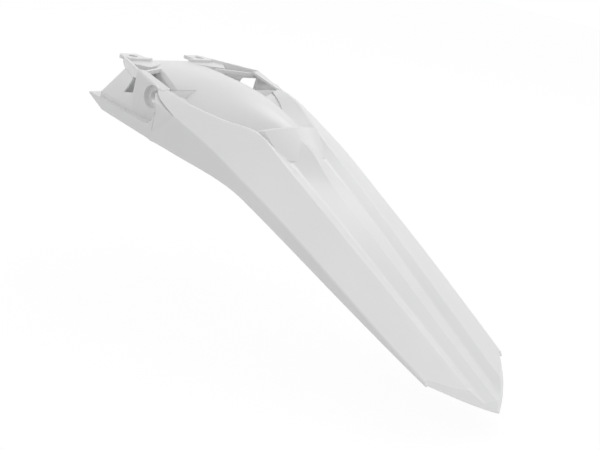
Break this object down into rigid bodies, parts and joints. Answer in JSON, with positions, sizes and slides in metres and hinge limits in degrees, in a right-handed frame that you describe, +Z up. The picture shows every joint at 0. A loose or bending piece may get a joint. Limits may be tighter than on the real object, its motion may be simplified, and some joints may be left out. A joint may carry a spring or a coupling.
{
  "type": "motorcycle rear fender",
  "caption": "White moulded rear fender for an off-road motorcycle, with a humped front over the wheel and a long tapered tail",
  "frame": {"origin": "midway between the bolt holes, on top of the level bolt tabs", "axes": "+X rearward along the bike to the tail tip, +Y to its right side, +Z up"},
  "size_m": [0.5485, 0.2282, 0.2085],
  "materials": {
    "plastic": "satin as moulded, polypropylene"
  },
  "bodies": {
    "root": {"rear_fender": "plastic"}
  },
  "joints": []
}
